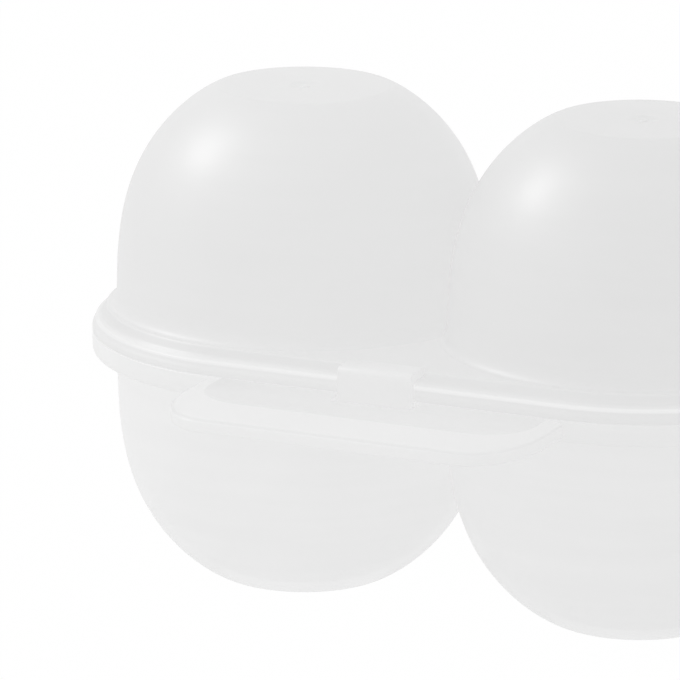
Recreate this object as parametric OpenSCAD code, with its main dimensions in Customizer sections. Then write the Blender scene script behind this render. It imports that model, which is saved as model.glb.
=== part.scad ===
// Egg keeper for two eggs: a base with two cups, a lid with two domes that flips
// back on a snap-on pin hinge, and a latch tongue that drops through a thumb tab.
// Millimetres, +Z up, the thumb tab towards -Y, the hinge towards +Y.
// The origin is on the table under the middle of the whole outline.

/* [Cells] */
// Outer diameter of a cell at the rim
cell_d = 50; // [46:0.5:58]
// How far the two cells run into each other
cell_overlap = 2; // [0.5:0.5:4]
// Height of the base from the table to the parting plane
base_h = 33.7; // [28:0.1:44]
// Height of the lid above the parting plane
lid_h = 32.9; // [28:0.1:44]
// Wall thickness of the cups and domes
wall = 1.2; // [0.8:0.1:1.8]
// Diameter of the flat disc that closes each cell
flat_d = 22.6; // [16:0.2:30]
// Height of the straight band beside the parting plane
band_h = 2.5; // [1.5:0.1:5]
// How long the side stays upright before it turns in
side_power = 3.12; // [2.4:0.02:4]
// How full the shoulder is
crown_power = 1.25; // [1:0.01:1.8]

/* [Rim] */
// How far the rim stands out from the cells
rim_reach = 3.3; // [2.8:0.1:6]
// Wall thickness of both rims
rim_wall = 1.2; // [0.8:0.1:1.5]
// Height of the base rim below the parting plane
base_rim_h = 3; // [2.4:0.1:5]
// Rounding of the lower edge of the base rim
base_edge_r = 1; // [0.3:0.1:1.2]
// Height of the lid rim above the parting plane
lid_rim_h = 3.5; // [3.2:0.1:6]
// Rounding of the outer bead of the lid rim
bead_r = 1.2; // [0.6:0.1:1.4]
// Width of the slanted shoulder of the lid rim
shoulder_w = 2; // [1.6:0.1:2.6]
// Width of the flare at the foot of each dome
flare_w = 1.1; // [0.4:0.1:1.2]
// Height of the flare at the foot of each dome
flare_h = 2.2; // [1:0.1:5]
// Height of the lip that stands up round each cup
lip_h = 1.9; // [1:0.1:2]
// Gap between the lid and what lies below it
parting_gap = 0.15; // [0.05:0.05:0.3]

/* [Thumb tab] */
// Width of the tab
tab_w = 50; // [40:0.2:62]
// How far the tab stands out in front of the rim
tab_reach = 17.6; // [13:0.1:24]
// Height of the turned-down edge of the tab
tab_h = 2.1; // [2.1:0.1:5]
// Corner radius of the tab
tab_corner_r = 9; // [7:0.5:12]
// Width of the sloping edge at the front of the tab
slope_front = 7.8; // [2:0.1:8.6]
// Width of the sloping edge at the sides of the tab
slope_side = 2.4; // [1.6:0.1:6]
// How far the sloping edge falls
slope_drop = 0.4; // [0.3:0.1:0.8]
// Thickness of the tab
tab_wall = 1.2; // [0.8:0.1:1.2]

/* [Latch] */
// Width of the latch tongue
latch_w = 10.2; // [6:0.2:20]
// Thickness of the latch tongue
latch_wall = 1.2; // [0.8:0.1:1.6]
// Gap between the face of the rim and the tongue
latch_gap = 1.3; // [1:0.1:2]
// Height of the top of the latch above the parting plane
latch_top = 4.2; // [4.1:0.1:6]
// Rounding of the outer corner of the latch
latch_corner_r = 0.9; // [0.3:0.1:1]
// Height of the hook at the foot of the tongue
hook_h = 0.9; // [0.6:0.1:1.5]
// Clearance between the hook and the edge that it snaps under
hook_clearance = 0.1; // [0.05:0.05:0.3]
// Room beside the tongue in the slot of the tab
slot_side = 0.4; // [0.2:0.1:1]
// Room in front of the tongue for it to spring out
slot_front = 1.1; // [1:0.1:2]
// Seam between the root of the latch and the lid rim
root_seam = 0.15; // [0.1:0.05:0.3]

/* [Hinge] */
// Distance of each hinge from the middle of the back
hinge_x = 14; // [10:0.5:16]
// Distance of the hinge axis from the back of the rim
hinge_reach = 3.2; // [3.2:0.1:5]
// Diameter of the hinge pin
pin_d = 3; // [2:0.1:3]
// Radial running clearance of the clip on the pin
pin_clearance = 0.05; // [0.03:0.01:0.1]
// Wall thickness of the clip
clip_wall = 1.15; // [0.8:0.05:1.2]
// Width of the clip
clip_w = 9; // [6:0.5:12]
// Width of the mouth through which the pin snaps in
mouth_w = 2.2; // [1.5:0.1:2.4]
// Thickness of each cheek that carries the pin
cheek_w = 2; // [1.2:0.1:3]
// Radius of the round end of a cheek
cheek_r = 2.75; // [2:0.05:2.8]
// Clearance between the clip and each cheek
cheek_clearance = 0.3; // [0.15:0.05:0.5]

/* [Hidden] */

$fn = 96;
curve_steps = 16;
arc_steps = 6;
over = 1;
base_tone = [0.93, 0.93, 0.93];
lid_tone = [0.90, 0.90, 0.90];
latch_tone = [0.86, 0.86, 0.86];

cell_r = cell_d / 2;
cell_pitch = cell_d - cell_overlap;
flat_r = flat_d / 2;
rim_r = cell_r + rim_reach;
tab_front = rim_r + tab_reach;
hinge_y = rim_r + hinge_reach;
hinge_back = hinge_y + cheek_r;
cell_y = (tab_front - hinge_back) / 2;
lid_plate_z = lid_rim_h - rim_wall;
tongue_y = rim_r + latch_gap;
latch_root_y = rim_r - shoulder_w;
latch_arm_z = latch_top - latch_wall;
hook_top = base_rim_h + parting_gap;
clip_r = pin_d / 2 + pin_clearance + clip_wall;
bracket_w = clip_w + 2 * cheek_clearance;

// Moves a piece from the parting plane between the cells to the table frame
module placed() {
    translate([0, cell_y, base_h])
        children();
}

// Half of all space, to the left (-1) or to the right (1) of the middle
module half_space(side) {
    reach = 4 * (cell_pitch + cell_d);
    translate([side > 0 ? 0 : -reach, -reach / 2, -reach / 2])
        cube([reach, reach, reach]);
}

// Points of a bowl turned about Z: a straight band, a full shoulder, a flat disc
function bowl_outline(r, r_flat, z_low, z_high) = concat(
    [[0, z_low], [r, z_low]],
    [for (i = [0:curve_steps])
        let (a = 90 * i / curve_steps)
        [r_flat + (r - r_flat) * pow(cos(a), 2 / crown_power),
         band_h + (z_high - band_h) * pow(sin(a), 2 / side_power)]],
    [[0, z_high]]
);

// Wall of one cell, opening towards -Z, parted from its neighbour at the middle
module cell_wall(side, z_low, z_high) {
    difference() {
        intersection() {
            translate([side * cell_pitch / 2, 0, 0])
                rotate_extrude()
                    polygon(bowl_outline(cell_r, flat_r, z_low, z_high));
            half_space(side);
        }
        intersection() {
            translate([side * cell_pitch / 2, 0, 0])
                rotate_extrude()
                    polygon(bowl_outline(cell_r - wall, flat_r - wall / 3, z_low - over, z_high - wall));
            translate([side * wall / 2, 0, 0])
                half_space(side);
        }
    }
}

// Flare that leads from the lid rim up into one dome
module dome_flare(side) {
    intersection() {
        translate([side * cell_pitch / 2, 0, lid_rim_h])
            rotate_extrude()
                polygon(concat(
                    [[cell_r - wall / 2, flare_h], [cell_r - wall / 2, 0]],
                    [for (i = [0:arc_steps])
                        let (a = 90 * i / arc_steps)
                        [cell_r + flare_w * (1 - sin(a)), flare_h * (1 - cos(a))]]
                ));
        half_space(side);
    }
}

// Sweeps a section, drawn as distance and height, round the outline of both cells
module sweep_round() {
    for (side = [-1, 1]) {
        translate([side * cell_pitch / 2, 0, 0])
            rotate([0, 0, -90 * side])
                rotate_extrude(angle = 180)
                    children();
        rotate([90, 0, 90 * side])
            translate([0, 0, -cell_pitch / 2])
                linear_extrude(cell_pitch)
                    children();
    }
}

// Outline of the rim at a distance from the cell centres
module rim_outline(r) {
    square([cell_pitch, 2 * r], center = true);
    for (side = [-1, 1])
        translate([side * cell_pitch / 2, 0])
            circle(r);
}

// Flat plate inside the swept rim, open where the two cells are
module web_plate(r, z_low, z_high) {
    translate([0, 0, z_low])
        linear_extrude(z_high - z_low)
            difference() {
                rim_outline(r);
                for (side = [-1, 1])
                    translate([side * cell_pitch / 2, 0])
                        circle(cell_r);
            }
}

// Solid of the whole rim outline, for cutting what meets it
module rim_block(z_low, z_high) {
    translate([0, 0, z_low])
        linear_extrude(z_high - z_low)
            rim_outline(rim_r);
}

// Section of the skirt that the base rim turns down all round
module skirt_section() {
    polygon(concat(
        [[rim_r - rim_wall, 0], [rim_r, 0]],
        [for (i = [0:arc_steps])
            let (a = 90 * i / arc_steps)
            [rim_r - base_edge_r * (1 - cos(a)), base_edge_r * (1 - sin(a)) - base_rim_h]],
        [[rim_r - rim_wall, -base_rim_h]]
    ));
}

// Outer outline of the lid rim from the foot of its bead to its flat top
function lid_rim_outline() = concat(
    [[rim_r, parting_gap]],
    [for (i = [0:arc_steps])
        let (a = 50 * i / arc_steps)
        [rim_r - bead_r * (1 - cos(a)), 2 * parting_gap + bead_r * sin(a)]],
    [[rim_r - shoulder_w, lid_rim_h]]
);

// Section of the bead and the slanted shoulder of the lid rim
module shoulder_section() {
    polygon(concat(
        lid_rim_outline(),
        [[rim_r - shoulder_w, lid_plate_z], [rim_r - rim_wall, bead_r], [rim_r - rim_wall, parting_gap]]
    ));
}

module cup(side) {
    color(base_tone)
        placed()
            mirror([0, 0, 1])
                cell_wall(side, 0, base_h);
}

module cup_lip(side) {
    color(base_tone)
        placed()
            difference() {
                intersection() {
                    translate([side * cell_pitch / 2, 0, 0])
                        cylinder(r = cell_r, h = lip_h);
                    half_space(side);
                }
                intersection() {
                    translate([side * cell_pitch / 2, 0, -over])
                        cylinder(r = cell_r - wall, h = lip_h + 2 * over);
                    translate([side * wall / 2, 0, 0])
                        half_space(side);
                }
            }
}

module base_rim() {
    color(base_tone)
        placed()
            union() {
                sweep_round()
                    skirt_section();
                web_plate(rim_r - rim_wall, -rim_wall, 0);
            }
}

// Outline of the tab, drawn in from its sides and its front, with round front corners
module tab_outline(side_in, front_in, corner_r) {
    half_w = tab_w / 2 - side_in;
    front = tab_front - front_in;
    translate([-half_w, corner_r - front])
        square([2 * half_w, front - corner_r - cell_r]);
    translate([corner_r - half_w, -front])
        square([2 * (half_w - corner_r), front - cell_r]);
    for (side = [-1, 1])
        translate([side * (half_w - corner_r), corner_r - front])
            circle(corner_r);
}

// Flat floor of the tab, with the slot that the latch drops through
module thumb_tab() {
    slot_w = latch_w + 2 * slot_side;
    slot_y = tongue_y + latch_wall + slot_front;
    color(base_tone)
        placed()
            difference() {
                translate([0, 0, -tab_wall])
                    linear_extrude(tab_wall)
                        tab_outline(slope_side, slope_front, tab_corner_r - slope_side);
                rim_block(-tab_wall - over, over);
                translate([-slot_w / 2, -slot_y, -tab_wall - over])
                    cube([slot_w, slot_y - cell_r, tab_wall + 2 * over]);
            }
}

// Body between the flat of the tab and an outer outline that lies lower
module tab_mound(inset, top) {
    hull() {
        translate([0, 0, -tab_h - inset])
            linear_extrude(tab_h + top - slope_drop + inset)
                tab_outline(inset, inset, tab_corner_r - inset, $fn = 32);
        translate([0, 0, top - slope_drop])
            linear_extrude(slope_drop)
                tab_outline(slope_side, slope_front, tab_corner_r - slope_side, $fn = 32);
    }
}

// Edge of the tab, which slopes down and turns under on three sides
module tab_edge() {
    color(base_tone)
        placed()
            difference() {
                tab_mound(0, 0);
                tab_mound(tab_wall, -tab_wall);
                translate([0, 0, -tab_h - over])
                    linear_extrude(tab_h + 2 * over)
                        tab_outline(slope_side, slope_front, tab_corner_r - slope_side);
                rim_block(-tab_h - over, over);
            }
}

// Two cheeks behind the base rim that carry one hinge pin
module hinge_bracket(side) {
    color(base_tone)
        placed()
            difference() {
                for (end = [-1, 1])
                    translate([side * hinge_x + end * (bracket_w + cheek_w) / 2, 0, 0])
                        rotate([90, 0, 90])
                            translate([0, 0, -cheek_w / 2])
                                linear_extrude(cheek_w)
                                    union() {
                                        translate([hinge_y, 0])
                                            circle(cheek_r);
                                        translate([cell_r, -cheek_r])
                                            square([hinge_y - cell_r, cheek_r]);
                                    }
                rim_block(-base_rim_h - over, 0);
            }
}

module hinge_pin(side) {
    color(base_tone)
        placed()
            translate([side * hinge_x - bracket_w / 2, hinge_y, 0])
                rotate([0, 90, 0])
                    cylinder(d = pin_d, h = bracket_w);
}

module dome(side) {
    color(lid_tone)
        placed()
            union() {
                cell_wall(side, lid_plate_z, lid_h);
                dome_flare(side);
            }
}

// Rim of the lid, notched where the root of the latch lies
module lid_rim() {
    notch_w = latch_w + 2 * root_seam;
    color(lid_tone)
        placed()
            difference() {
                union() {
                    sweep_round()
                        shoulder_section();
                    web_plate(rim_r - shoulder_w, lid_plate_z, lid_rim_h);
                }
                translate([-notch_w / 2, -rim_r - over, latch_arm_z - root_seam])
                    cube([notch_w, rim_r + over - latch_root_y, lid_rim_h]);
            }
}

// Open ring that grips a hinge pin, with the arm that joins it to the lid rim
module hinge_clip(side) {
    bore_r = pin_d / 2 + pin_clearance;
    color(lid_tone)
        placed()
            translate([side * hinge_x, 0, 0])
                rotate([90, 0, 90])
                    translate([0, 0, -clip_w / 2])
                        linear_extrude(clip_w)
                            difference() {
                                union() {
                                    translate([hinge_y, 0])
                                        circle(clip_r);
                                    translate([cell_r, parting_gap])
                                        square([hinge_y - cell_r, clip_r - parting_gap]);
                                }
                                polygon(concat(lid_rim_outline(), [[cell_r, lid_rim_h], [cell_r, parting_gap]]));
                                translate([hinge_y, 0])
                                    circle(bore_r);
                                translate([hinge_y - mouth_w / 2, -clip_r - over])
                                    square([mouth_w, clip_r + over]);
                            }
}

// Arm over the lid rim and the tongue that hangs down from it
module latch_tongue() {
    color(latch_tone)
        placed()
            rotate([90, 0, -90])
                translate([0, 0, -latch_w / 2])
                    linear_extrude(latch_w)
                        polygon(concat(
                            [[latch_root_y + root_seam, latch_arm_z], [latch_root_y + root_seam, latch_top]],
                            [for (i = [0:arc_steps])
                                let (a = 90 * i / arc_steps)
                                [tongue_y + latch_wall - latch_corner_r * (1 - sin(a)),
                                 latch_top - latch_corner_r * (1 - cos(a))]],
                            [[tongue_y + latch_wall, -hook_top - hook_h], [tongue_y, -hook_top - hook_h],
                             [tongue_y, latch_arm_z]]
                        ));
}

// Wedge that snaps under the lower edge of the base rim
module latch_hook() {
    color(latch_tone)
        placed()
            rotate([90, 0, -90])
                translate([0, 0, -latch_w / 2])
                    linear_extrude(latch_w)
                        polygon([
                            [tongue_y, -hook_top],
                            [rim_r + hook_clearance, -hook_top],
                            [rim_r + hook_clearance, -hook_top - hook_h / 3],
                            [tongue_y, -hook_top - hook_h]
                        ]);
}

cup(-1);  // left_cup
cup(1);  // right_cup
cup_lip(-1);  // left_cup_lip
cup_lip(1);  // right_cup_lip
base_rim();
thumb_tab();
tab_edge();
hinge_bracket(-1);  // left_hinge_bracket
hinge_bracket(1);  // right_hinge_bracket
hinge_pin(-1);  // left_hinge_pin
hinge_pin(1);  // right_hinge_pin
dome(-1);  // left_dome
dome(1);  // right_dome
lid_rim();
hinge_clip(-1);  // left_hinge_clip
hinge_clip(1);  // right_hinge_clip
latch_tongue();
latch_hook();
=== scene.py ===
"""Looks of an egg keeper for two eggs, moulded in milky polypropylene.

Every piece is drawn in millimetres from the middle of the parting plane between the two cells, with -Y
towards the thumb tab and +Y towards the hinge. placed() turns that into the frame's metres. The sizes
that the frame already holds are read from it.
"""

import logging
import math
from collections.abc import Callable, Sequence
from dataclasses import dataclass
from enum import Enum

import bmesh
import bpy
from mathutils import Matrix, Vector


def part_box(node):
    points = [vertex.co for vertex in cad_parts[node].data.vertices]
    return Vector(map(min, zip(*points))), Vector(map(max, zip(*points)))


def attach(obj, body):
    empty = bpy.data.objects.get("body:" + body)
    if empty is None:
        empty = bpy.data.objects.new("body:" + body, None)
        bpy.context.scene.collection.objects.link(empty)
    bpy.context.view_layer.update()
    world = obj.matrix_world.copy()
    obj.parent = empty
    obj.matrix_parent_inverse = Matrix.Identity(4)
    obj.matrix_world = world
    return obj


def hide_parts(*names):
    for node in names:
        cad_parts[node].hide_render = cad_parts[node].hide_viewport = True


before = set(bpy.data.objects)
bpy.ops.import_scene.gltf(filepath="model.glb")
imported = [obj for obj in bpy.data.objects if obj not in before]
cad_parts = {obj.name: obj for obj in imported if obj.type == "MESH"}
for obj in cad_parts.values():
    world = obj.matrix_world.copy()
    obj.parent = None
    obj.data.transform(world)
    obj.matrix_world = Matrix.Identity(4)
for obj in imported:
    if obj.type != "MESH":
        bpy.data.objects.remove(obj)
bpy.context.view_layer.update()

LOG = logging.getLogger("egg_keeper")
MM = 0.001

Socket = bpy.types.NodeSocket
# Distance from a centre, and height
Point = tuple[float, float]
# Distance, height, and how far from the corner its rounding starts
Corner = tuple[float, float, float]
# Distance to the side, distance to the front, and height, of a step of the tab's edge
RollStep = tuple[float, float, float]


class Side(Enum):
    """The two cells, seen from the front."""

    LEFT = -1
    RIGHT = 1

    @property
    def word(self) -> str:
        """The side's name in a piece's name."""
        return self.name.lower()


class Body(Enum):
    """The moving bodies of the frame."""

    BASE = "base"
    LID = "lid"
    LATCH = "latch"


class Slot(Enum):
    """The record's material slots."""

    BASE = "base_plastic"
    LID = "lid_plastic"


class Way(Enum):
    """Which way a cell bulges from the parting plane."""

    UP = 1
    DOWN = -1


@dataclass(frozen=True)
class Layout:
    """Sizes that every sub-assembly shares, read from the frame, in millimetres."""

    cell_r: float
    cell_x: float
    cell_y: float
    base_h: float
    lid_h: float
    rim_r: float
    tab_half_w: float
    tab_front: float
    hinge_x: float
    hinge_y: float
    pin_r: float
    bracket_w: float
    latch_half_w: float

    @classmethod
    def read(cls) -> "Layout":
        """Measures the CAD nodes.

        Returns:
            The layout of this object.
        """
        cup_low, cup_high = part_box("left_cup")
        dome_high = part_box("left_dome")[1]
        rim_low, rim_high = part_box("base_rim")
        tab_low, tab_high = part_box("tab_edge")
        pin_low, pin_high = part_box("left_hinge_pin")
        latch_low, latch_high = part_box("latch_tongue")
        cell_r = (cup_high.y - cup_low.y) / 2
        cell_y = (cup_high.y + cup_low.y) / 2
        return cls(
            cell_r=cell_r / MM,
            cell_x=-(cup_low.x + cell_r) / MM,
            cell_y=cell_y / MM,
            base_h=cup_high.z / MM,
            lid_h=(dome_high.z - cup_high.z) / MM,
            rim_r=(rim_high.y - rim_low.y) / 2 / MM,
            tab_half_w=(tab_high.x - tab_low.x) / 2 / MM,
            tab_front=(cell_y - tab_low.y) / MM,
            hinge_x=-(pin_low.x + pin_high.x) / 2 / MM,
            hinge_y=((pin_low.y + pin_high.y) / 2 - cell_y) / MM,
            pin_r=(pin_high.z - pin_low.z) / 2 / MM,
            bracket_w=(pin_high.x - pin_low.x) / MM,
            latch_half_w=(latch_high.x - latch_low.x) / 2 / MM,
        )


LAYOUT = Layout.read()
# Gap between regions of one moulding that meet face to face
SEAM = 0.012
# Gap between the lid's rim and the base's
PARTING_GAP = 0.04
# Thickness of the cells' walls
WALL = 1.2
# Radius of the flat disc that ends a cell
FLAT_R = 11.3
# Height of the straight band at a cell's mouth
BAND_H = 2.5
# How full the curve of a cell is at its side and at its crown
SIDE_POWER = 3.12
CROWN_POWER = 1.25
# Depth of the base's rim, height of the lid's, and underside of the flat between the domes
BASE_RIM_H = 3.0
LID_RIM_H = 3.5
LID_PLATE_Z = 2.3
# How near a plane a point lies that counts as on it
NEAR = 0.01
# Points nearer than this are one, on a fresh cut and on a finished mesh
CUT_MERGE = 0.0001
WELD = 0.001
# How far a cutter reaches past what it cuts, and from the parting plane where it goes right through
PAST = 1.0
THROUGH = 9.0
# Steps of a rounded corner
ROUNDING_STEPS = 6


def placed(x: float, y: float, z: float) -> Vector:
    """Turns millimetres from the middle of the parting plane into the frame's metres."""
    return Vector((x, y + LAYOUT.cell_y, z + LAYOUT.base_h)) * MM


def put_down() -> None:
    """Leaves edit mode and deselects every object."""
    active = bpy.context.view_layer.objects.active
    if active is not None and active.mode != "OBJECT":
        bpy.ops.object.mode_set(mode="OBJECT")
    bpy.ops.object.select_all(action="DESELECT")


def take(piece: bpy.types.Object) -> None:
    """Selects one object alone and makes it the active one.

    Args:
        piece: The object that the next operators act on.
    """
    put_down()
    piece.select_set(True)
    bpy.context.view_layer.objects.active = piece


def open_mesh(piece: bpy.types.Object) -> None:
    """Opens an object's mesh in edit mode with its vertices at hand.

    Args:
        piece: The object to edit.
    """
    take(piece)
    bpy.ops.object.mode_set(mode="EDIT")
    bpy.ops.mesh.select_mode(type="VERT")


def fix_place(piece: bpy.types.Object, name: str) -> None:
    """Names a new primitive and moves its place into its mesh.

    Args:
        piece: The object that the primitive operator made.
        name: Its name from now on.
    """
    piece.name = name
    piece.data.name = name
    bpy.ops.object.transform_apply(location=True, rotation=True, scale=True)


def pick(piece: bpy.types.Object, chosen: set[int]) -> None:
    """Selects vertices by index, with the edges and faces between them.

    Args:
        piece: The object in edit mode.
        chosen: The indices of the vertices.
    """
    mesh = bmesh.from_edit_mesh(piece.data)
    for face in mesh.faces:
        face.select = False
    for edge in mesh.edges:
        edge.select = False
    for vertex in mesh.verts:
        vertex.select = vertex.index in chosen
    mesh.select_flush_mode()
    bmesh.update_edit_mesh(piece.data)


def picked(piece: bpy.types.Object) -> dict[int, Vector]:
    """The selected vertices of an object in edit mode.

    Args:
        piece: The object in edit mode.

    Returns:
        The place of each selected vertex, by its index.
    """
    mesh = bmesh.from_edit_mesh(piece.data)
    return {vertex.index: vertex.co.copy() for vertex in mesh.verts if vertex.select}


def pick_points(piece: bpy.types.Object, test: Callable[[Vector], bool]) -> None:
    """Selects the vertices that pass a test, with the edges and faces between them.

    Args:
        piece: The object, opened in edit mode.
        test: Says of a place, in millimetres from the parting plane, whether its vertex is wanted.
    """
    origin = placed(0, 0, 0)
    bpy.ops.mesh.select_all(action="SELECT")
    pick(piece, {index for index, place in picked(piece).items() if test((place - origin) / MM)})


def pick_edges(piece: bpy.types.Object, test: Callable[[Vector, Vector], bool]) -> None:
    """Selects the edges whose two ends pass a test.

    Args:
        piece: The object, opened in edit mode.
        test: Says of an edge's ends, in millimetres from the parting plane, whether it is wanted.
    """
    bpy.ops.mesh.select_mode(type="EDGE")
    mesh = bmesh.from_edit_mesh(piece.data)
    origin = placed(0, 0, 0)
    for face in mesh.faces:
        face.select = False
    for edge in mesh.edges:
        one, other = ((vertex.co - origin) / MM for vertex in edge.verts)
        edge.select = test(one, other)
    mesh.select_flush_mode()
    bmesh.update_edit_mesh(piece.data)


def soften(corners: Sequence[Corner]) -> list[Point]:
    """Rounds the corners of an outline.

    Args:
        corners: The corners in order. The first and the last stay sharp.

    Returns:
        The points of the softened outline.
    """
    points: list[Point] = []
    for index, (x, y, reach) in enumerate(corners):
        if reach <= 0 or index in (0, len(corners) - 1):
            points.append((x, y))
            continue
        here = Vector((x, y))
        before = Vector(corners[index - 1][:2]) - here
        after = Vector(corners[index + 1][:2]) - here
        start = here + before.normalized() * reach
        end = here + after.normalized() * reach
        for step in range(ROUNDING_STEPS + 1):
            share = step / ROUNDING_STEPS
            point = start * (1 - share) ** 2 + here * 2 * share * (1 - share) + end * share**2
            points.append((point.x, point.y))
    return points


@dataclass(frozen=True)
class Loft:
    """A closed solid drawn ring by ring: round one centre, or oblong round two."""

    centres: tuple[float, ...]
    segments: int = 144

    def build(self, name: str, rings: Sequence[Point]) -> bpy.types.Object:
        """Extrudes a disc from ring to ring.

        Args:
            name: Name of the solid.
            rings: Distance from the centre and height of each ring, from one cap to the other.

        Returns:
            The solid, closed by a cap at its first and its last ring.
        """
        put_down()
        radius, height = rings[0]
        middle = self.centres[0] if len(self.centres) == 1 else 0.0
        bpy.ops.mesh.primitive_circle_add(
            vertices=self.segments,
            radius=radius * MM,
            fill_type="NGON",
            location=placed(middle, 0, height),
            rotation=(0, 0, math.pi / self.segments),
        )
        piece = bpy.context.object
        fix_place(piece, name)
        open_mesh(piece)
        bpy.ops.mesh.select_all(action="SELECT")
        if len(self.centres) > 1:
            self._on_each_side(
                piece, lambda centre: bpy.ops.transform.translate(value=(centre * MM, 0, 0))
            )
        for next_radius, next_height in rings[1:]:
            rise = (next_height - height) * MM
            bpy.ops.mesh.extrude_region_move(TRANSFORM_OT_translate={"value": (0, 0, rise)})
            self._widen(piece, next_radius / radius)
            radius, height = next_radius, next_height
        put_down()
        return piece

    def _widen(self, piece: bpy.types.Object, factor: float) -> None:
        """Scales the selected cap about the centre or centres.

        Args:
            piece: The object in edit mode.
            factor: The new radius as a share of the old one.
        """

        def resize(centre: float) -> None:
            """Scales what is selected about one centre."""
            bpy.ops.transform.resize(value=(factor, factor, 1), center_override=placed(centre, 0, 0))

        if len(self.centres) == 1:
            resize(self.centres[0])
        else:
            self._on_each_side(piece, resize)

    def _on_each_side(self, piece: bpy.types.Object, act: Callable[[float], object]) -> None:
        """Runs an operator on the left and on the right half of the selected cap.

        Args:
            piece: The object in edit mode.
            act: What to do, given the x of that half's centre.
        """
        cap = picked(piece)
        for centre in self.centres:
            pick(piece, {index for index, place in cap.items() if place.x * centre > 0})
            act(centre)
        pick(piece, set(cap))


def keep_side(piece: bpy.types.Object, side: Side, from_middle: float) -> None:
    """Cuts a solid along the plane between the cells and closes the cut.

    Args:
        piece: The solid.
        side: The side that stays.
        from_middle: Distance of the cut from the middle, in millimetres.
    """
    open_mesh(piece)
    bpy.ops.mesh.select_all(action="SELECT")
    bpy.ops.mesh.bisect(
        plane_co=placed(side.value * from_middle, 0, 0),
        plane_no=(side.value, 0, 0),
        use_fill=True,
        clear_inner=True,
        threshold=CUT_MERGE * MM,
    )
    put_down()


def face_outwards(piece: bpy.types.Object) -> None:
    """Merges doubled points and turns every face outwards.

    Args:
        piece: The object to put in order.
    """
    open_mesh(piece)
    bpy.ops.mesh.select_all(action="SELECT")
    bpy.ops.mesh.remove_doubles(threshold=WELD * MM)
    bpy.ops.mesh.normals_make_consistent(inside=False)
    put_down()


def join_solids(piece: bpy.types.Object, other: bpy.types.Object, operation: str) -> None:
    """Adds a solid to another or cuts it out of it.

    Args:
        piece: The solid that stays.
        other: The solid that is used up.
        operation: UNION or DIFFERENCE.
    """
    face_outwards(piece)
    face_outwards(other)
    take(piece)
    bpy.ops.object.modifier_add(type="BOOLEAN")
    modifier = piece.modifiers[-1]
    modifier.operation = operation
    modifier.solver = "EXACT"
    modifier.object = other
    bpy.ops.object.modifier_apply(modifier=modifier.name)
    bpy.data.objects.remove(other)


def block(name: str, low: Sequence[float], high: Sequence[float]) -> bpy.types.Object:
    """A box between two corners, as a start for extrusions and as a cutter.

    Args:
        name: Name of the box.
        low: Its lowest corner, in millimetres.
        high: Its highest corner.

    Returns:
        The box.
    """
    put_down()
    middle = [(a + b) / 2 for a, b in zip(low, high)]
    size = [(b - a) * MM for a, b in zip(low, high)]
    bpy.ops.mesh.primitive_cube_add(size=1, location=placed(*middle), scale=size)
    piece = bpy.context.object
    fix_place(piece, name)
    return piece


def rod(name: str, radius: float, left: float, length: float) -> bpy.types.Object:
    """A round bar on the hinge's axis.

    Args:
        name: Name of the bar.
        radius: Its radius in millimetres.
        left: The x of its left end.
        length: Its length.

    Returns:
        The bar.
    """
    put_down()
    bpy.ops.mesh.primitive_cylinder_add(
        vertices=64,
        radius=radius * MM,
        depth=length * MM,
        location=placed(left + length / 2, LAYOUT.hinge_y, 0),
        rotation=(0, math.pi / 2, 0),
    )
    piece = bpy.context.object
    fix_place(piece, name)
    return piece


def round_edges(piece: bpy.types.Object, width: float, angle: float = 40.0, segments: int = 3) -> None:
    """Rounds every edge that is sharper than an angle.

    Args:
        piece: The solid.
        width: How far from the edge the rounding starts, in millimetres.
        angle: The least angle of an edge that is rounded, in degrees.
        segments: Steps of the rounding.
    """
    take(piece)
    bpy.ops.object.modifier_add(type="BEVEL")
    modifier = piece.modifiers[-1]
    modifier.width = width * MM
    modifier.segments = segments
    modifier.limit_method = "ANGLE"
    modifier.angle_limit = math.radians(angle)
    modifier.harden_normals = False
    bpy.ops.object.modifier_apply(modifier=modifier.name)


@dataclass(frozen=True)
class Dressing:
    """What a finished piece rides on, stands for and is made of."""

    body: Body
    slot: Slot
    material: bpy.types.Material
    # Edges under this angle, in degrees, are shaded smooth
    smooth_angle: float = 32.0

    def give(self, piece: bpy.types.Object, *nodes: str) -> None:
        """Finishes a piece: shading, material, body and the nodes that it stands for.

        Scattered light passes it freely, because real milky walls hand it on instead of stopping it.

        Args:
            piece: The finished mesh.
            nodes: The CAD nodes that it replaces.
        """
        face_outwards(piece)
        take(piece)
        bpy.ops.object.shade_smooth_by_angle(angle=math.radians(self.smooth_angle))
        piece.data.materials.clear()
        piece.data.materials.append(self.material)
        piece.visible_diffuse = False
        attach(piece, self.body.value)
        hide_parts(*nodes)
        faces = len(piece.data.polygons)
        LOG.info("%s: %d faces, rides on %s, stands for %s", piece.name, faces, self.body.value, nodes)

    def give_node(self, node: str) -> None:
        """Puts the material on a CAD node whose shape stays.

        Args:
            node: Name of the node.
        """
        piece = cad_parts[node]
        piece.data.materials.clear()
        piece.data.materials.append(self.material)
        LOG.info("%s: CAD node kept, rides on %s", node, self.body.value)


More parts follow.
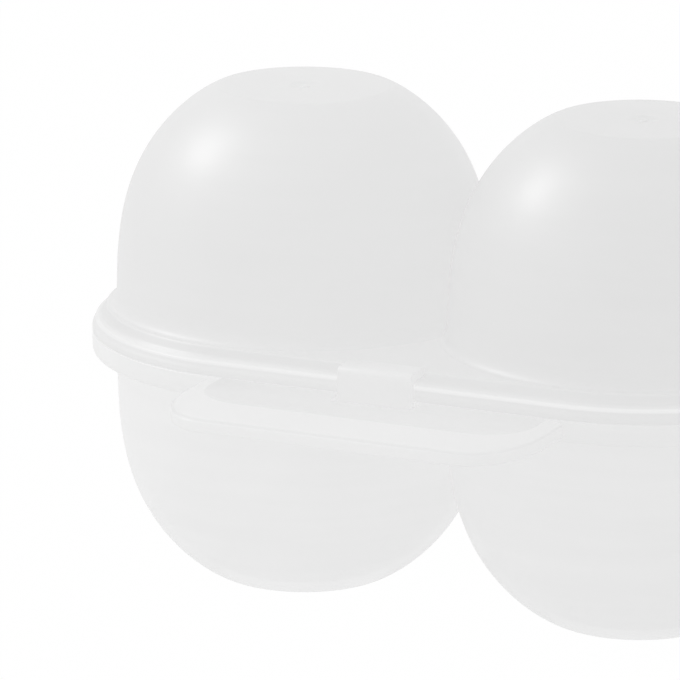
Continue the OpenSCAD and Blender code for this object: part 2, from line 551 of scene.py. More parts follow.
@dataclass(frozen=True)
class Cell:
    """One thin-walled cell: a straight band, a full shoulder and a flat disc with its gate mark."""

    side: Side
    way: Way
    height: float
    z_low: float
    wall: float = WALL
    flare_w: float = 1.1
    flare_h: float = 2.2
    flare_steps: int = 8
    flare_clear: float = 0.4
    curve_steps: int = 44
    disc_edge: float = 0.6
    gate_r: float = 1.7
    # The gate's dimple: how far past gate_r and how deep each of its rings lies
    dimple: tuple[Point, ...] = ((0.5, 0.0), (0.15, 0.03), (-0.35, 0.23), (-0.7, 0.28))
    # The pip in the dimple's middle: radius and height of each of its rings
    pip: tuple[Point, ...] = ((0.62, 0.0), (0.5, 0.14), (0.25, 0.18))

    def _bowl(self, radius: float, flat_r: float, z_high: float) -> list[Point]:
        """The curved side of the bowl.

        Args:
            radius: Radius of the straight band.
            flat_r: Radius of the flat disc.
            z_high: Height of the flat disc.

        Returns:
            Distance and height of each ring.
        """
        rings: list[Point] = []
        for step in range(1, self.curve_steps + 1):
            angle = math.pi / 2 * step / self.curve_steps
            out = flat_r + (radius - flat_r) * max(0.0, math.cos(angle)) ** (2 / CROWN_POWER)
            rise = BAND_H + (z_high - BAND_H) * math.sin(angle) ** (2 / SIDE_POWER)
            rings.append((out, rise))
        return rings

    def _disc(self) -> list[Point]:
        """The flat disc, with the dimple and the pip that the gate leaves in it.

        Returns:
            Distance and height of each ring.
        """
        rings: list[Point] = [(FLAT_R - self.disc_edge, self.height)]
        rings += [(self.gate_r + out, self.height - depth) for out, depth in self.dimple]
        floor = self.height - self.dimple[-1][1]
        return rings + [(radius, floor + rise) for radius, rise in self.pip]

    def _solid(self, name: str, rings: Sequence[Point], cut: float) -> bpy.types.Object:
        """Lofts the rings about this cell's centre and cuts them off near the middle.

        Args:
            name: Name of the solid.
            rings: Distance and height of each ring.
            cut: Distance of the cut from the middle.

        Returns:
            The solid.
        """
        turned = [(radius, height * self.way.value) for radius, height in rings]
        piece = Loft((self.side.value * LAYOUT.cell_x,)).build(name, turned)
        keep_side(piece, self.side, cut)
        return piece

    def build(self, name: str) -> bpy.types.Object:
        """Draws the outside, draws the inside and cuts it out.

        Args:
            name: Name of the piece.

        Returns:
            The cell's shell.
        """
        radius = LAYOUT.cell_r
        foot: list[Point] = [(radius, self.z_low)]
        if self.way is Way.UP:
            ledge = LID_RIM_H + SEAM
            foot += [(radius, ledge), (radius + self.flare_w, ledge)]
            for step in range(1, self.flare_steps):
                angle = math.pi / 2 * step / self.flare_steps
                out = radius + self.flare_w * (1 - math.sin(angle))
                foot.append((out, ledge + self.flare_h * (1 - math.cos(angle))))
            clear = ledge + self.flare_h + self.flare_clear
        else:
            clear = BAND_H
        side = [ring for ring in self._bowl(radius, FLAT_R, self.height) if ring[1] > clear]
        shell = self._solid(name, foot + side + self._disc(), SEAM)
        inner_r = radius - self.wall
        inner_flat = FLAT_R - self.wall / 3
        inner_h = self.height - self.wall
        inside: list[Point] = [(inner_r, self.z_low - PAST), (inner_r, BAND_H)]
        inside += self._bowl(inner_r, inner_flat, inner_h) + [(inner_flat / 2, inner_h)]
        join_solids(shell, self._solid("hollow", inside, self.wall / 2), "DIFFERENCE")
        return shell


def cut_cells(piece: bpy.types.Object) -> None:
    """Cuts the two round openings of the cells through a rim.

    Args:
        piece: The rim.
    """
    for side in Side:
        radius = LAYOUT.cell_r + SEAM
        opening = Loft((side.value * LAYOUT.cell_x,))
        cutter = opening.build("cell_opening", [(radius, -THROUGH), (radius, THROUGH)])
        join_solids(piece, cutter, "DIFFERENCE")


@dataclass(frozen=True)
class BaseMoulding:
    """The lower moulding: two cups, their lips, the turned-down rim, the thumb tab and the cheeks."""

    dressing: Dressing
    tab_dressing: Dressing
    lip_h: float = 1.9
    lip_top_w: float = 0.8
    lip_round: float = 0.3
    lip_lead: float = 0.05
    edge_r: float = 1.0
    rim_wall: float = 1.2
    rim_fillet: float = 0.4
    cap_in: float = 0.6
    tab_floor_in: float = 2.4
    tab_floor_back: float = 7.8
    tab_corner_r: float = 6.6
    tab_corner_steps: int = 14
    tab_drop: float = 0.4
    tab_h: float = 2.1
    tab_wall_side: float = 1.2
    tab_wall_front: float = 1.3
    # The small step at the floor's edge: out to the side, out to the front, and height
    floor_step: tuple[RollStep, ...] = ((0.05, 0.08, -0.03), (0.14, 0.22, -0.1), (0.22, 0.38, -0.13))
    # From the slope over into the skirt: in from the side, in from the front, up from the slope's foot
    roll_over: tuple[RollStep, ...] = (
        (0.5, 0.9, 0.05), (0.26, 0.45, -0.03), (0.09, 0.16, -0.16), (0.01, 0.02, -0.36), (0.0, 0.0, -0.55)
    )
    # Round the skirt's lower edge: in from the side, in from the front, up from the edge
    skirt_foot: tuple[RollStep, ...] = (
        (0.0, 0.0, 0.24), (0.04, 0.04, 0.1), (0.14, 0.14, 0.0), (1.0, 1.1, 0.0), (1.14, 1.2, 0.1)
    )
    slot_side: float = 0.4
    slot_y: float = 31.9
    slot_open: float = 2.0
    cheek_w: float = 2.0
    cheek_r: float = 2.75
    cheek_round: float = 0.22

    def build(self) -> None:
        """Builds and dresses every piece of the base."""
        for side in Side:
            cup = Cell(side, Way.DOWN, LAYOUT.base_h, 0.0)
            self.dressing.give(cup.build(f"{side.word}_cup_shell"), f"{side.word}_cup")
            self._lip(side)
            self._cheeks(side)
            self.dressing.give_node(f"{side.word}_hinge_pin")
        self._rim()
        self._tab()

    def _lip(self, side: Side) -> None:
        """The lip that stands up round a cup and centres the lid.

        Args:
            side: The cup's side.
        """
        mouth = Loft((side.value * LAYOUT.cell_x,))
        outer_r = LAYOUT.cell_r - SEAM
        inner_r = LAYOUT.cell_r - WALL
        lead_r = inner_r + self.lip_round
        outside = [
            (outer_r, SEAM, 0),
            (outer_r, self.lip_h, self.lip_round),
            (outer_r - self.lip_top_w, self.lip_h, 0),
        ]
        lip = mouth.build(f"{side.word}_lip_ring", soften(outside))
        keep_side(lip, side, SEAM)
        inside = [
            (inner_r, -PAST),
            (inner_r, self.lip_h - self.lip_round),
            (lead_r, self.lip_h + self.lip_lead),
            (lead_r, self.lip_h + PAST),
        ]
        hollow = mouth.build("hollow", inside)
        keep_side(hollow, side, WALL / 2)
        join_solids(lip, hollow, "DIFFERENCE")
        self.dressing.give(lip, f"{side.word}_cup_lip")

    def _rim(self) -> None:
        """The flange between and round the cups, with its skirt."""
        outer_r = LAYOUT.rim_r
        inner_r = outer_r - self.rim_wall
        corners = [
            (inner_r - self.cap_in, 0, 0),
            (outer_r, 0, 0.2),
            (outer_r, -BASE_RIM_H, self.edge_r),
            (inner_r, -BASE_RIM_H, 0.12),
            (inner_r, -self.rim_wall, self.rim_fillet),
            (inner_r - 2 * self.cap_in, -self.rim_wall, 0),
        ]
        rim = Loft((-LAYOUT.cell_x, LAYOUT.cell_x)).build("base_flange", soften(corners))
        cut_cells(rim)
        self.dressing.give(rim, "base_rim")

    def _tab(self) -> None:
        """The thumb tab: a flat floor whose front and sides roll over and turn down."""
        back = LAYOUT.rim_r + SEAM
        half_w = LAYOUT.tab_half_w - self.tab_floor_in
        depth = LAYOUT.tab_front - self.tab_floor_back - back
        middle_y = -(back + depth / 2)
        put_down()
        bpy.ops.mesh.primitive_plane_add(size=1, location=placed(0, middle_y, 0))
        tab = bpy.context.object
        tab.scale = (2 * half_w * MM, depth * MM, 1)
        fix_place(tab, "thumb_tab_plate")
        open_mesh(tab)
        pick_points(tab, lambda place: place.y < middle_y)
        bpy.ops.mesh.bevel(
            offset=self.tab_corner_r * MM,
            segments=self.tab_corner_steps,
            affect="VERTICES",
            offset_type="OFFSET",
            profile=0.5,
        )
        pick_edges(tab, lambda one, other: min(one.y, other.y) < -back - NEAR)
        aside, ahead, height = 0.0, 0.0, 0.0
        for next_aside, next_ahead, next_height in self._tab_roll():
            across = (half_w + next_aside) / (half_w + aside)
            along = (depth + next_ahead) / (depth + ahead)
            drop = (next_height - height) * MM
            bpy.ops.mesh.extrude_region_move(TRANSFORM_OT_translate={"value": (0, 0, drop)})
            bpy.ops.transform.resize(value=(across, along, 1), center_override=placed(0, -back, 0))
            aside, ahead, height = next_aside, next_ahead, next_height
        bpy.ops.mesh.edge_face_add()
        pick_edges(tab, lambda one, other: min(one.y, other.y) > -back - NEAR)
        bpy.ops.mesh.edge_face_add()
        put_down()
        slot_half = LAYOUT.latch_half_w + self.slot_side
        low = (-slot_half, -self.slot_y, -THROUGH)
        slot = block("slot", low, (slot_half, self.slot_open - back, THROUGH))
        join_solids(tab, slot, "DIFFERENCE")
        self.tab_dressing.give(tab, "thumb_tab", "tab_edge")

    def _tab_roll(self) -> list[RollStep]:
        """The section of the tab's edge, from the floor out, down the skirt and back underneath.

        Returns:
            How far out from the floor's edge, to the side and to the front, and how high each step is.
        """
        out, ahead = self.tab_floor_in, self.tab_floor_back
        steps = list(self.floor_step)
        steps += [(out - side, ahead - front, rise - self.tab_drop) for side, front, rise in self.roll_over]
        steps += [(out - side, ahead - front, rise - self.tab_h) for side, front, rise in self.skirt_foot]
        steps.append((out - self.tab_wall_side, ahead - self.tab_wall_front, -self.tab_drop - WALL))
        steps.append((0.0, 0.0, -WALL))
        return steps

    def _cheeks(self, side: Side) -> None:
        """The two cheeks that carry one hinge pin.

        Args:
            side: The hinge's side.
        """
        pair: list[bpy.types.Object] = []
        for end in (-1, 1):
            middle = side.value * LAYOUT.hinge_x + end * (LAYOUT.bracket_w + self.cheek_w) / 2
            left = middle - self.cheek_w / 2 + (SEAM if end > 0 else 0)
            width = self.cheek_w - SEAM
            cheek = rod("cheek", self.cheek_r, left, width)
            root = LAYOUT.rim_r + SEAM
            arm = block("arm", (left, root, -self.cheek_r), (left + width, LAYOUT.hinge_y, 0))
            join_solids(cheek, arm, "UNION")
            round_edges(cheek, self.cheek_round)
            pair.append(cheek)
        take(pair[0])
        pair[1].select_set(True)
        bpy.ops.object.join()
        pair[0].name = f"{side.word}_hinge_cheeks"
        self.dressing.give(pair[0], f"{side.word}_hinge_bracket")


@dataclass(frozen=True)
class LidMoulding:
    """The upper moulding: two domes, the bead and shoulder of the rim and the snap-on clips."""

    dressing: Dressing
    rim_dressing: Dressing
    shoulder_w: float = 2.0
    rim_wall: float = 1.2
    rim_fillet: float = 0.4
    cap_in: float = 0.7
    # The corners of the rim's side: how far in from the bead's widest point, height and rounding
    shoulder_foot: Corner = (1.36, 2.35, 0.2)
    ridge_back: Corner = (0.85, 1.94, 0.1)
    ridge_front: Corner = (0.5, 1.78, 0.14)
    bead_top: Corner = (0.32, 1.2, 0.24)
    bead_side: Corner = (0.0, 0.7, 0.26)
    notch_side: float = 0.15
    notch_z: float = 2.85
    clip_w: float = 9.0
    clip_r: float = 2.7
    clip_round: float = 0.12
    bore_gap: float = 0.05
    mouth_w: float = 2.2

    def build(self) -> None:
        """Builds and dresses every piece of the lid."""
        for side in Side:
            dome = Cell(side, Way.UP, LAYOUT.lid_h, LID_PLATE_Z)
            self.dressing.give(dome.build(f"{side.word}_dome_shell"), f"{side.word}_dome")
            self._clip(side)
        self._rim()

    def _outer_corners(self) -> list[Corner]:
        """The corners of the rim's outside, from its flat top down to the foot of its bead.

        Returns:
            The corners in order.
        """
        outer_r = LAYOUT.rim_r
        root = outer_r - self.shoulder_w
        side = (self.shoulder_foot, self.ridge_back, self.ridge_front, self.bead_top, self.bead_side)
        corners = [(root - self.cap_in, LID_RIM_H, 0.0), (root, LID_RIM_H, 0.3)]
        corners += [(outer_r - inwards, height, reach) for inwards, height, reach in side]
        return corners + [(outer_r, PARTING_GAP, 0.1)]

    def _rim(self) -> None:
        """The bead, the slanted shoulder and the flat between the domes."""
        inner_r = LAYOUT.rim_r - self.rim_wall
        root = LAYOUT.rim_r - self.shoulder_w
        corners = self._outer_corners() + [
            (inner_r, PARTING_GAP, 0.12),
            (inner_r, self.rim_wall, self.rim_fillet),
            (root, LID_PLATE_Z, 0.3),
            (root - self.cap_in, LID_PLATE_Z, 0),
        ]
        rim = Loft((-LAYOUT.cell_x, LAYOUT.cell_x)).build("lid_bead_rim", soften(corners))
        cut_cells(rim)
        notch = LAYOUT.latch_half_w + self.notch_side
        low, high = (-notch, -LAYOUT.rim_r - PAST, self.notch_z), (notch, -root, LID_RIM_H + PAST)
        cutter = block("notch", low, high)
        join_solids(rim, cutter, "DIFFERENCE")
        self.rim_dressing.give(rim, "lid_rim")

    def _clip(self, side: Side) -> None:
        """The open ring that snaps over one hinge pin, and its arm.

        Args:
            side: The hinge's side.
        """
        left = side.value * LAYOUT.hinge_x - self.clip_w / 2
        right = left + self.clip_w
        clip = rod(f"{side.word}_snap_clip", self.clip_r, left, self.clip_w)
        arm = block("arm", (left, LAYOUT.cell_r, PARTING_GAP), (right, LAYOUT.hinge_y, self.clip_r))
        join_solids(clip, arm, "UNION")
        outline = [(radius + SEAM, height) for radius, height in soften(self._outer_corners())]
        outline.insert(0, (outline[0][0], THROUGH))
        outline.append((LAYOUT.rim_r + SEAM, -THROUGH))
        cutter = Loft((-LAYOUT.cell_x, LAYOUT.cell_x)).build("rim_block", outline)
        join_solids(clip, cutter, "DIFFERENCE")
        bore = rod("bore", LAYOUT.pin_r + self.bore_gap, left - PAST, self.clip_w + 2 * PAST)
        join_solids(clip, bore, "DIFFERENCE")
        half_mouth = self.mouth_w / 2
        low = (left - PAST, LAYOUT.hinge_y - half_mouth, -self.clip_r - PAST)
        mouth = block("mouth", low, (right + PAST, LAYOUT.hinge_y + half_mouth, 0))
        join_solids(clip, mouth, "DIFFERENCE")
        round_edges(clip, self.clip_round, angle=50.0, segments=2)
        self.dressing.give(clip, f"{side.word}_hinge_clip")


@dataclass(frozen=True)
class Latch:
    """The sprung tongue that drops through the tab, and its hook."""

    dressing: Dressing
    wall: float = 1.2
    top_z: float = 4.2
    corner_r: float = 0.9
    inner_corner_r: float = 0.5
    edge_round: float = 0.14
    root_seam: float = 0.15
    root_in: float = 2.0
    gap: float = 1.3
    hook_top: float = 3.15
    hook_h: float = 0.9
    hook_tip_rise: float = 0.6
    hook_gap: float = 0.1
    hook_round: float = 0.1

    def build(self) -> None:
        """Builds and dresses the tongue and the hook."""
        self._tongue()
        self._hook()

    def _tongue(self) -> None:
        """The arm over the rim, bent down into the tongue."""
        half = LAYOUT.latch_half_w
        root = LAYOUT.rim_r - self.root_in + self.root_seam
        inner = LAYOUT.rim_r + self.gap
        outer = inner + self.wall
        foot = -self.hook_top - self.hook_h
        under = self.top_z - self.wall
        tongue = block("latch_blade", (-half, -inner, under), (half, -root, self.top_z))
        open_mesh(tongue)
        pick_points(tongue, lambda place: place.y < -inner + NEAR)
        bpy.ops.mesh.extrude_region_move(TRANSFORM_OT_translate={"value": (0, -self.wall * MM, 0)})
        pick_points(tongue, lambda place: place.y < -inner + NEAR and place.z < under + NEAR)
        bpy.ops.mesh.extrude_region_move(TRANSFORM_OT_translate={"value": (0, 0, (foot - under) * MM)})
        self._round_corner(tongue, -outer, self.top_z, self.corner_r, steps=8)
        self._round_corner(tongue, -inner, under, self.inner_corner_r, steps=4)
        put_down()
        face_outwards(tongue)
        round_edges(tongue, self.edge_round, angle=50.0)
        self.dressing.give(tongue, "latch_tongue")

    @staticmethod
    def _round_corner(tongue: bpy.types.Object, y: float, z: float, radius: float, steps: int) -> None:
        """Rounds the edge across the tongue at one corner of its bend.

        Args:
            tongue: The tongue, opened in edit mode.
            y: Where the edge lies.
            z: How high it lies.
            radius: Radius of the rounding in millimetres.
            steps: Steps of the rounding.
        """

        def on_corner(one: Vector, other: Vector) -> bool:
            """Whether an edge's two ends lie on the corner."""
            return all(max(abs(end.y - y), abs(end.z - z)) < NEAR for end in (one, other))

        pick_edges(tongue, on_corner)
        bpy.ops.mesh.bevel(offset=radius * MM, segments=steps, affect="EDGES")

    def _hook(self) -> None:
        """The wedge at the foot of the tongue."""
        half = LAYOUT.latch_half_w
        tongue_y = LAYOUT.rim_r + self.gap - SEAM
        tip_y = LAYOUT.rim_r + self.hook_gap
        low_z = -self.hook_top - self.hook_h
        hook = block("latch_barb", (-half, -tongue_y, low_z), (half, -tip_y, -self.hook_top))
        open_mesh(hook)
        pick_points(hook, lambda place: place.y > -tip_y - NEAR and place.z < low_z + NEAR)
        bpy.ops.transform.translate(value=(0, 0, self.hook_tip_rise * MM))
        put_down()
        round_edges(hook, self.hook_round, angle=30.0)
        self.dressing.give(hook, "latch_hook")


def grey(tone: float) -> tuple[float, float, float, float]:
    """A neutral colour of one tone."""
    return (tone, tone, tone, 1.0)


class NodeCanvas:
    """A node tree with short ways to add nodes, set their values and join them."""

    # The colour sockets of a Mix node, by number, because its number and vector sockets share their names
    COLOUR_A = 6
    COLOUR_B = 7
    COLOUR_RESULT = 2

    def __init__(self, tree: bpy.types.NodeTree) -> None:
        """Holds a tree, emptied."""
        self.tree = tree
        tree.nodes.clear()

    def add(self, kind: str, **settings: object) -> bpy.types.Node:
        """Adds a node.

        Args:
            kind: Its type, such as ShaderNodeMath.
            settings: Its properties.

        Returns:
            The node.
        """
        node = self.tree.nodes.new(kind)
        for name, value in settings.items():
            setattr(node, name, value)
        return node

    def put(self, node: bpy.types.Node, socket: str | int, value: object) -> None:
        """Sets an input to a value, or joins it to an output.

        Args:
            node: The node.
            socket: The input's name or number.
            value: A number, a colour or another node's output.
        """
        target = node.inputs[socket]
        if isinstance(value, Socket):
            self.tree.links.new(value, target)
        else:
            target.default_value = value

    def math(self, operation: str, one: object, other: object) -> Socket:
        """Adds a Math node.

        Args:
            operation: What it works out.
            one: Its first value or output.
            other: Its second.

        Returns:
            Its output.
        """
        node = self.add("ShaderNodeMath", operation=operation)
        self.put(node, 0, one)
        self.put(node, 1, other)
        return node.outputs[0]

    def blend(self, mask: Socket, one: object, other: object) -> Socket:
        """Adds a Mix node for colours.

        Args:
            mask: The output that says how much of the second there is.
            one: The first colour or output.
            other: The second.

        Returns:
            Its output.
        """
        node = self.add("ShaderNodeMix", data_type="RGBA")
        self.put(node, "Factor", mask)
        self.put(node, self.COLOUR_A, one)
        self.put(node, self.COLOUR_B, other)
        return node.outputs[self.COLOUR_RESULT]

    def noise(self, where: object, scale: object, detail: float, rough: float = 0.5) -> Socket:
        """Adds a Noise Texture node.

        Args:
            where: The coordinates that it reads.
            scale: Its scale, as a value or an output.
            detail: How many finer layers it has.
            rough: How strong the finer layers are.

        Returns:
            Its output, from 0 to 1.
        """
        node = self.add("ShaderNodeTexNoise")
        self.put(node, "Vector", where)
        self.put(node, "Scale", scale)
        self.put(node, "Detail", detail)
        self.put(node, "Roughness", rough)
        return node.outputs["Fac"]

    def spread(self, value: object, low: float, high: float) -> Socket:
        """Adds a Map Range node that stretches a range to 0 to 1.

        Args:
            value: The output to stretch.
            low: What becomes 0.
            high: What becomes 1.

        Returns:
            Its output.
        """
        node = self.add("ShaderNodeMapRange")
        self.put(node, "Value", value)
        self.put(node, "From Min", low)
        self.put(node, "From Max", high)
        return node.outputs["Result"]

    def bump(self, height: object, strength: float, distance: float) -> bpy.types.Node:
        """Adds a Bump node.

        Args:
            height: The output that it raises.
            strength: Its strength.
            distance: Its height in metres.

        Returns:
            The node.
        """
        node = self.add("ShaderNodeBump")
        self.put(node, "Height", height)
        self.put(node, "Strength", strength)
        self.put(node, "Distance", distance)
        return node


class GroupCanvas(NodeCanvas):
    """A shader node group on object coordinates, with its sockets."""

    def __init__(self, name: str, inputs: dict[str, float], outputs: dict[str, str]) -> None:
        """Makes the group.

        Args:
            name: Name of the group.
            inputs: Its numbers, with their usual values.
            outputs: Its outputs, with the type of each socket.
        """
        super().__init__(bpy.data.node_groups.new(name, "ShaderNodeTree"))
        for label, value in inputs.items():
            socket = self.tree.interface.new_socket(label, in_out="INPUT", socket_type="NodeSocketFloat")
            socket.default_value = value
        for label, kind in outputs.items():
            self.tree.interface.new_socket(label, in_out="OUTPUT", socket_type=kind)
        self.given = self.add("NodeGroupInput").outputs
        self.out = self.add("NodeGroupOutput")
        self.where = self.add("ShaderNodeTexCoord").outputs["Object"]

    def stretched(self, scale: Sequence[float], turn: Sequence[float] = (0, 0, 0)) -> Socket:
        """The coordinates, turned and then stretched.

        Args:
            scale: The factor along each axis.
            turn: The turn about each axis, in radians.

        Returns:
            The output of a Mapping node.
        """
        node = self.add("ShaderNodeMapping")
        self.put(node, "Vector", self.where)
        self.put(node, "Rotation", turn)
        self.put(node, "Scale", scale)
        return node.outputs[0]

    def along(self, axis: str) -> Socket:
        """One coordinate.

        Args:
            axis: X, Y or Z.

        Returns:
            The output with that coordinate, in metres.
        """
        node = self.add("ShaderNodeSeparateXYZ")
        self.put(node, 0, self.where)
        return node.outputs[axis]


def build_melt_clouds() -> bpy.types.NodeTree:
    """The uneven milkiness that melt flow leaves in thin walls, and painted shade that darkens the walls
    towards +X.

    Returns:
        A group whose Mask is 0 to 1: broad clouds with faint level streaks, and less of it towards +X,
            which is painted shade that makes the right-hand side darker, as if lit from the left.
    """
    values = {"Cloud Scale": 45.0, "Streaks": 0.4, "Lean": 10.0}
    group = GroupCanvas("melt_clouds", values, {"Mask": "NodeSocketFloat"})
    blend = group.add("ShaderNodeMix", data_type="FLOAT")
    group.put(blend, "Factor", group.given["Streaks"])
    group.put(blend, "A", group.noise(group.where, group.given["Cloud Scale"], detail=2.0, rough=0.45))
    group.put(blend, "B", group.noise(group.stretched((0.22, 0.22, 2.4)), 190.0, detail=3.0))
    # Painted shade: the mask falls off towards +X, so the right-hand side comes out darker, as if lit from
    # the left
    lean = group.math("MULTIPLY", group.along("X"), group.given["Lean"])
    uneven = group.math("SUBTRACT", blend.outputs["Result"], lean)
    group.put(group.out, "Mask", group.spread(uneven, 0.1, 0.9))
    return group.tree


def build_height_band() -> bpy.types.NodeTree:
    """A level strip round a piece, with soft edges.

    Returns:
        A group whose Mask is 1 within Half Width of the height Middle and falls to 0 over Feather.
    """
    values = {"Middle": 0.0337, "Half Width": 0.0003, "Feather": 0.0002}
    group = GroupCanvas("height_band", values, {"Mask": "NodeSocketFloat"})
    inner = group.given["Half Width"]
    offset = group.math("SUBTRACT", group.along("Z"), group.given["Middle"])
    edge = group.add("ShaderNodeMapRange", interpolation_type="SMOOTHSTEP")
    group.put(edge, "Value", group.math("ABSOLUTE", offset, 0.0))
    group.put(edge, "From Min", inner)
    group.put(edge, "From Max", group.math("ADD", inner, group.given["Feather"]))
    group.put(edge, "To Min", 1.0)
    group.put(edge, "To Max", 0.0)
    group.put(group.out, "Mask", edge.outputs["Result"])
    return group.tree


def build_satin_skin() -> bpy.types.NodeTree:
    """The skin of a polished mould: a faint ripple, a fine grain and a few handling scuffs.

    Returns:
        A group that puts out a Roughness and a Normal.
    """
    values = {"Roughness": 0.35, "Grain": 0.3, "Scuffs": 0.3}
    outputs = {"Roughness": "NodeSocketFloat", "Normal": "NodeSocketVector"}
    group = GroupCanvas("satin_skin", values, outputs)
    grain = group.noise(group.where, 2600.0, detail=2.0)
    ripple = group.noise(group.where, 130.0, detail=1.0)
    scratches = group.stretched((1.0, 14.0, 3.0), turn=(0.5, 0.3, 0.9))
    scuffed = group.spread(group.noise(scratches, 120.0, detail=4.0), 0.62, 0.78)
    worn = group.math("MULTIPLY", scuffed, group.given["Scuffs"])
    rough = group.math("ADD", group.given["Roughness"], group.math("MULTIPLY", worn, 0.25))
    uneven = group.math("MULTIPLY", group.math("SUBTRACT", ripple, 0.5), 0.12)
    group.put(group.out, "Roughness", group.math("ADD", rough, uneven))
    fine = group.math("MULTIPLY", grain, group.given["Grain"])
    height = group.math("ADD", fine, group.math("MULTIPLY", worn, -0.6))
    close = group.bump(height, strength=0.12, distance=0.00002)
    wide = group.bump(ripple, strength=0.35, distance=0.00009)
    group.put(wide, "Normal", close.outputs["Normal"])
    group.put(group.out, "Normal", wide.outputs["Normal"])
    return group.tree


@dataclass(frozen=True)
class Band:
    """A level strip of painted tone round a piece, in millimetres: a darker strip is painted shade, a
    lighter one a painted highlight.
    """

    height: float
    half_width: float
    feather: float
    tone: float


@dataclass(frozen=True)
class Groups:
    """The node groups that every plastic shares."""

    clouds: bpy.types.NodeTree
    band: bpy.types.NodeTree
    skin: bpy.types.NodeTree


@dataclass(frozen=True)
class MilkyPlastic:
    """Natural polypropylene: its walls scatter what is seen through them but let most light pass."""

    name: str
    milk: float
    haze: float
    # Strips of painted shade and painted highlight
    bands: tuple[Band, ...] = ()
    cover: float = 0.82
    veil: float = 0.04
    roughness: float = 0.44
    grain: float = 0.3
    scuffs: float = 0.3
    streaks: float = 0.4
    cloud_scale: float = 45.0
    # How strongly painted shade darkens the walls towards +X
    lean: float = 10.0
    ior: float = 1.49

    def build(self, groups: Groups) -> bpy.types.Material:
        """Makes the material.

        Args:
            groups: The shared node groups.

        Returns:
            The material.
        """
        material = bpy.data.materials.new(self.name)
        material.use_nodes = True
        canvas = NodeCanvas(material.node_tree)
        out = canvas.add("ShaderNodeOutputMaterial")
        shader = canvas.add("ShaderNodeBsdfPrincipled")
        # Random milky clouds, with painted shade that darkens the walls towards +X
        milkiness = canvas.add("ShaderNodeGroup", node_tree=groups.clouds)
        canvas.put(milkiness, "Cloud Scale", self.cloud_scale)
        canvas.put(milkiness, "Streaks", self.streaks)
        canvas.put(milkiness, "Lean", self.lean)
        colour = canvas.blend(milkiness.outputs["Mask"], grey(self.haze), grey(self.milk))
        for band in self.bands:
            colour = self._banded(canvas, groups.band, colour, band)
        canvas.put(shader, "Base Color", colour)
        surface = canvas.add("ShaderNodeGroup", node_tree=groups.skin)
        canvas.put(surface, "Roughness", self.roughness)
        canvas.put(surface, "Grain", self.grain)
        canvas.put(surface, "Scuffs", self.scuffs)
        canvas.put(shader, "Roughness", surface.outputs["Roughness"])
        canvas.put(shader, "Normal", surface.outputs["Normal"])
        canvas.put(shader, "IOR", self.ior)
        path = canvas.add("ShaderNodeLightPath")
        opacity = canvas.add("ShaderNodeMix", data_type="FLOAT")
        canvas.put(opacity, "Factor", path.outputs["Is Shadow Ray"])
        canvas.put(opacity, "A", self.cover)
        canvas.put(opacity, "B", self.veil)
        canvas.put(shader, "Alpha", opacity.outputs["Result"])
        canvas.put(out, "Surface", shader.outputs["BSDF"])
        return material

    @staticmethod
    def _banded(canvas: NodeCanvas, group: bpy.types.NodeTree, colour: Socket, band: Band) -> Socket:
        """Lays a strip of painted shade or painted highlight over a colour.

        Args:
            canvas: The material's tree.
            group: The group that masks a strip.
            colour: The colour so far.
            band: The strip.

        Returns:
            The colour with the strip.
        """
        mask = canvas.add("ShaderNodeGroup", node_tree=group)
        canvas.put(mask, "Middle", (LAYOUT.base_h + band.height) * MM)
        canvas.put(mask, "Half Width", band.half_width * MM)
        canvas.put(mask, "Feather", band.feather * MM)
        return canvas.blend(mask.outputs["Mask"], colour, grey(band.tone))


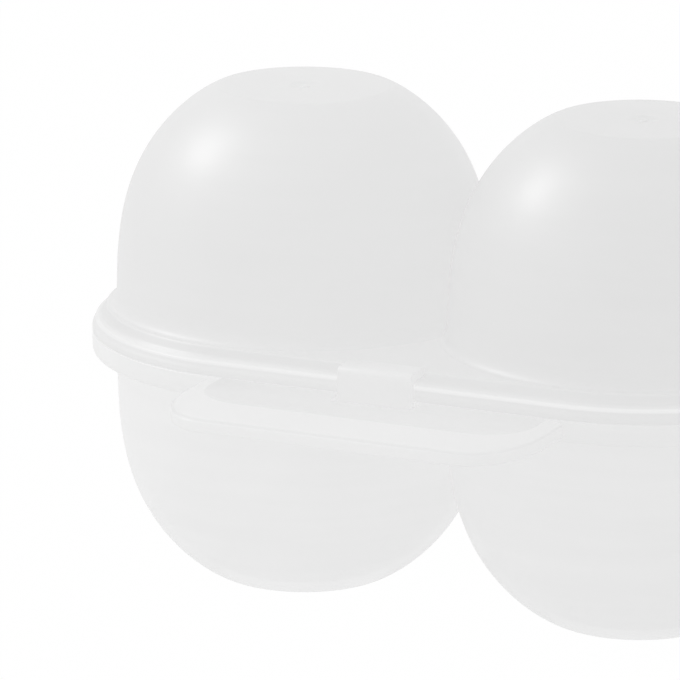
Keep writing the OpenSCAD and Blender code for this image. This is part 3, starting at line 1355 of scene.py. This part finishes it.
@dataclass(frozen=True)
class Studio:
    """The camera of the photograph, a pale floor and plain soft light, in degrees and metres."""

    azimuth: float = 24.627
    elevation: float = 15.0875
    roll: float = 0.123
    distance: float = 0.705588
    aim_right: float = -0.017076
    aim_up: float = 0.001114
    # Focal length and sensor width, in millimetres
    lens: float = 283.58
    sensor: float = 36.0
    clip_start: float = 0.01
    key_from: tuple[float, float, float] = (-0.745, -0.14, 0.65)
    key_distance: float = 0.9
    key_size: float = 0.26
    gloss_power: float = 2.6
    soft_power: float = 0.25
    floor_size: float = 6.0
    floor_tone: float = 0.96
    floor_white: float = 0.92

    def build(self) -> None:
        """Sets up the camera, the surround, the floor and two lamps, one of which only makes highlights."""
        bpy.context.scene.view_settings.view_transform = "Standard"
        self._camera()
        self._sky()
        self._floor()
        self._lamp("gloss", self.gloss_power).visible_diffuse = False
        self._lamp("soft", self.soft_power)

    def _camera(self) -> None:
        """The camera where the photograph was taken from."""
        turn, lift, roll = (math.radians(a) for a in (self.azimuth, self.elevation, self.roll))
        level_back = Vector((math.sin(turn), -math.cos(turn), 0))
        back = level_back * math.cos(lift) + Vector((0, 0, math.sin(lift)))
        level = Vector((math.cos(turn), math.sin(turn), 0))
        upright = back.cross(level)
        right = level * math.cos(roll) + upright * math.sin(roll)
        up = upright * math.cos(roll) - level * math.sin(roll)
        middle = placed(0, 0, (LAYOUT.lid_h - LAYOUT.base_h) / 2)
        camera = bpy.data.objects.new("camera", bpy.data.cameras.new("camera"))
        bpy.context.scene.collection.objects.link(camera)
        camera.data.lens = self.lens
        camera.data.sensor_width = self.sensor
        camera.data.clip_start = self.clip_start
        pose = Matrix((right, up, back)).transposed().to_4x4()
        pose.translation = middle + back * self.distance + right * self.aim_right + up * self.aim_up
        camera.matrix_world = pose
        bpy.context.scene.camera = camera

    @staticmethod
    def _seen_directly(canvas: NodeCanvas) -> Socket:
        """Whether a ray comes from the camera, a gloss or a clear wall, as 0 or 1.

        Args:
            canvas: The tree that asks.

        Returns:
            The output with the answer.
        """
        path = canvas.add("ShaderNodeLightPath")
        either = canvas.math("MAXIMUM", path.outputs["Is Camera Ray"], path.outputs["Is Glossy Ray"])
        return canvas.math("MAXIMUM", either, path.outputs["Is Transmission Ray"])

    @staticmethod
    def _sky() -> None:
        """An even white surround."""
        world = bpy.data.worlds.new("studio_surround")
        world.use_nodes = True
        bpy.context.scene.world = world
        canvas = NodeCanvas(world.node_tree)
        out = canvas.add("ShaderNodeOutputWorld")
        surround = canvas.add("ShaderNodeBackground")
        canvas.put(surround, "Color", grey(1.0))
        canvas.put(out, "Surface", surround.outputs[0])

    def _floor(self) -> None:
        """A pale floor that goes over into the white surround and keeps a faint shadow."""
        put_down()
        bpy.ops.mesh.primitive_plane_add(size=self.floor_size)
        floor = bpy.context.object
        floor.name = "floor"
        material = bpy.data.materials.new("pale_floor")
        material.use_nodes = True
        canvas = NodeCanvas(material.node_tree)
        out = canvas.add("ShaderNodeOutputMaterial")
        matt = canvas.add("ShaderNodeBsdfDiffuse")
        canvas.put(matt, "Color", grey(self.floor_tone))
        white = canvas.add("ShaderNodeEmission")
        mix = canvas.add("ShaderNodeMixShader")
        canvas.put(mix, 0, canvas.math("MULTIPLY", self._seen_directly(canvas), self.floor_white))
        canvas.put(mix, 1, matt.outputs[0])
        canvas.put(mix, 2, white.outputs[0])
        canvas.put(out, "Surface", mix.outputs[0])
        floor.data.materials.append(material)

    def _lamp(self, name: str, power: float) -> bpy.types.Object:
        """A round lamp at the upper left.

        Args:
            name: Its name.
            power: Its power in watts.

        Returns:
            The lamp.
        """
        light = bpy.data.lights.new(name, "AREA")
        light.shape = "DISK"
        light.size = self.key_size
        light.energy = power
        lamp = bpy.data.objects.new(name, light)
        bpy.context.scene.collection.objects.link(lamp)
        towards = Vector(self.key_from).normalized()
        lamp.location = placed(0, 0, LAYOUT.lid_h / 2) + towards * self.key_distance
        lamp.rotation_euler = towards.to_track_quat("Z", "Y").to_euler()
        return lamp


def main() -> None:
    """Builds the studio and the three sub-assemblies in order."""
    logging.basicConfig(level=logging.INFO, format="%(message)s")
    Studio().build()
    groups = Groups(build_melt_clouds(), build_height_band(), build_satin_skin())
    # Painted light on the lid's rim: painted shade darkens the slanted shoulder where the lamp would light
    # it, and a painted highlight brightens the thin ridge of the bead
    shoulder = Band(height=2.75, half_width=0.4, feather=0.35, tone=0.755)
    ridge = Band(height=1.7, half_width=0.08, feather=0.26, tone=0.86)
    # Painted shade on the tab: dark lines along the floor's edge and along the foot of the slope, where the
    # rolled edge would catch a highlight
    floor_edge = Band(height=0.0, half_width=0.07, feather=0.05, tone=0.79)
    slope_foot = Band(height=-0.52, half_width=0.06, feather=0.1, tone=0.79)
    # One plastic in lit and shaded copies: the base is painted lighter, as the white floor lights the cups
    # from below, and the lid darker, as it faces away from the floor. The latch, the tab and the rim each
    # get the lit tone of their own faces
    base_finish = MilkyPlastic("base_milky_plastic", milk=0.852, haze=0.802, streaks=0.6, lean=8.0)
    tab_finish = MilkyPlastic("tab_milky_plastic", milk=0.85, haze=0.82, bands=(floor_edge, slope_foot))
    lid_finish = MilkyPlastic("lid_milky_plastic", milk=0.79, haze=0.752)
    rim_finish = MilkyPlastic("rim_milky_plastic", milk=0.80, haze=0.77, bands=(shoulder, ridge))
    latch_finish = MilkyPlastic("latch_milky_plastic", milk=0.825, haze=0.805)
    base = Dressing(Body.BASE, Slot.BASE, base_finish.build(groups))
    tab = Dressing(Body.BASE, Slot.BASE, tab_finish.build(groups))
    lid = Dressing(Body.LID, Slot.LID, lid_finish.build(groups))
    rim = Dressing(Body.LID, Slot.LID, rim_finish.build(groups))
    latch = Dressing(Body.LATCH, Slot.LID, latch_finish.build(groups))
    BaseMoulding(base, tab).build()
    LidMoulding(lid, rim).build()
    Latch(latch).build()


if __name__ == "__main__":
    main()
